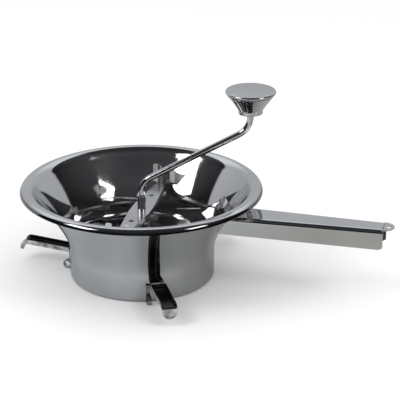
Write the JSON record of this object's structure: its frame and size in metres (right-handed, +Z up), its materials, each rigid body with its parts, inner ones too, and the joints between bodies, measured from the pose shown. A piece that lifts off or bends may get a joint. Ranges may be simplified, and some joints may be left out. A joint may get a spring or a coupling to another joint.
{
  "type": "rotary food mill",
  "caption": "Hand cranked rotary food mill: flared steel bowl with a long channel handle, hook feet, a bridge bar, a spring pressed blade, a sieve disc and a turning knob.",
  "frame": {"origin": "where the drum's axis meets the base plane, the underside of the bowl's bottom ledge", "axes": "+Z up along the spindle, +X along the long handle, the bridge bar along Y"},
  "size_m": [0.382, 0.24, 0.191],
  "materials": {
    "polished_steel": "mirror polished stainless steel",
    "foot_steel": "polished stainless steel, dark unpolished inside the channel",
    "plain_steel": "plain stainless steel",
    "spring_steel": "bright spring wire",
    "knob_steel": "polished pressed steel",
    "bush_plastic": "black moulded bush"
  },
  "bodies": {
    "mill": {"bowl": "polished_steel", "handle": "polished_steel", "handle_rivets": "plain_steel", "foot_rear": "foot_steel", "foot_left": "foot_steel", "foot_right": "foot_steel", "catch_rear": "plain_steel", "catch_left": "plain_steel", "catch_right": "plain_steel", "bridge_bracket_left": "polished_steel", "bridge_bracket_right": "polished_steel", "bridge_bar": "polished_steel", "spindle_bush": "plain_steel", "sieve_disc": "polished_steel"},
    "lifter": {"press_spring": "spring_steel", "spring_seat": "plain_steel"},
    "crank": {"crank_rod": "polished_steel", "stop_collar": "plain_steel", "cross_pin": "plain_steel", "blade": "polished_steel", "blade_hub": "plain_steel", "knob_washer": "plain_steel"},
    "knob": {"knob_bush": "bush_plastic", "knob_skirt": "knob_steel", "knob_cap": "knob_steel"}
  },
  "joints": [
    {"name": "blade_lift", "type": "slide", "parent": "mill", "child": "lifter", "axis": [0, 0, 1], "range_m": [0, 0.004], "stiffness_N_per_m": 3400, "springref_m": -0.005, "deforming": ["press_spring"]},
    {"name": "crank_spin", "type": "hinge", "parent": "lifter", "child": "crank", "pos_m": [0, 0, 0.05], "axis": [0, 0, 1], "continuous": true},
    {"name": "knob_spin", "type": "hinge", "parent": "crank", "child": "knob", "pos_m": [0.10205, 0.03316, 0.18], "axis": [0, 0, 1], "continuous": true}
  ]
}
